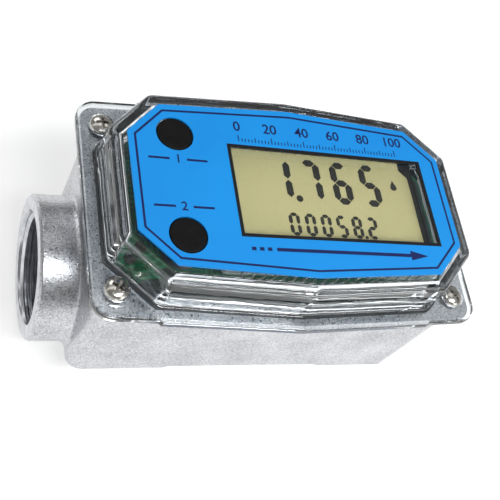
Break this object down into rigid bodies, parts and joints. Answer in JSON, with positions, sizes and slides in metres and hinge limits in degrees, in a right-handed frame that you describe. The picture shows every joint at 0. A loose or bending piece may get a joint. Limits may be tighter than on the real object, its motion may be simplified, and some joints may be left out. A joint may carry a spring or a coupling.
{
  "type": "turbine flow meter",
  "caption": "In-line turbine flow meter: cast body with threaded ports, bladed rotor, and a clear-covered display with push buttons.",
  "frame": {"origin": "under the middle of the meter, on the surface it stands on", "axes": "+X along the flow from inlet to outlet, +Z out of the display face"},
  "size_m": [0.1044, 0.0572, 0.0596],
  "materials": {
    "cast_aluminium": "as cast, bead blasted, machined port faces",
    "clear_polycarbonate": "clear moulded, glossy",
    "gasket_rubber": "moulded black rubber",
    "stainless_steel": "bright stainless screws and springs",
    "printed_label": "blue printed polyester, satin",
    "button_rubber": "black, matt",
    "black_moulding": "black moulded plastic",
    "lcd_glass": "grey-green display glass",
    "tinned_pins": "tinned metal",
    "board_laminate": "green solder mask",
    "capacitor_can": "drawn can",
    "cell_jacket": "plain printed sleeve",
    "copper_wire": "enamelled copper winding",
    "rotor_plastic": "moulded acetal",
    "support_plastic": "moulded acetal",
    "bearing_ceramic": "polished ceramic"
  },
  "bodies": {
    "housing": {"meter_body": "cast_aluminium", "clear_cover": "clear_polycarbonate", "cover_gasket": "gasket_rubber", "cover_screws": "stainless_steel", "faceplate_label": "printed_label", "calibrate_switch": "black_moulding", "display_switch": "black_moulding", "lcd_glass": "lcd_glass", "lcd_frame": "black_moulding", "lcd_pins": "tinned_pins", "circuit_board": "board_laminate", "board_screws": "stainless_steel", "microcontroller": "black_moulding", "crystal": "tinned_pins", "capacitors": "capacitor_can", "chip_resistors": "black_moulding", "battery_tray": "black_moulding", "battery_cells": "cell_jacket", "battery_contacts": "tinned_pins", "pickup_bobbin": "black_moulding", "pickup_winding": "copper_wire", "pickup_magnet": "stainless_steel", "pickup_pins": "tinned_pins", "downstream_support": "support_plastic", "upstream_support": "support_plastic", "downstream_bearing": "bearing_ceramic", "upstream_bearing": "bearing_ceramic", "downstream_ring": "stainless_steel", "upstream_ring": "stainless_steel"},
    "rotor": {"turbine_rotor": "rotor_plastic", "rotor_shaft": "stainless_steel"},
    "calibrate_key": {"calibrate_button": "button_rubber"},
    "display_key": {"display_button": "button_rubber"}
  },
  "joints": [
    {"name": "rotor_spin", "type": "hinge", "parent": "housing", "child": "rotor", "pos_m": [0, 0, 0.018], "axis": [1, 0, 0], "continuous": true},
    {"name": "calibrate_press", "type": "slide", "parent": "housing", "child": "calibrate_key", "axis": [0, 0, -1], "range_m": [0, 0.0005], "stiffness_N_per_m": 500, "springref_m": -0.001},
    {"name": "display_press", "type": "slide", "parent": "housing", "child": "display_key", "axis": [0, 0, -1], "range_m": [0, 0.0005], "stiffness_N_per_m": 500, "springref_m": -0.001}
  ]
}
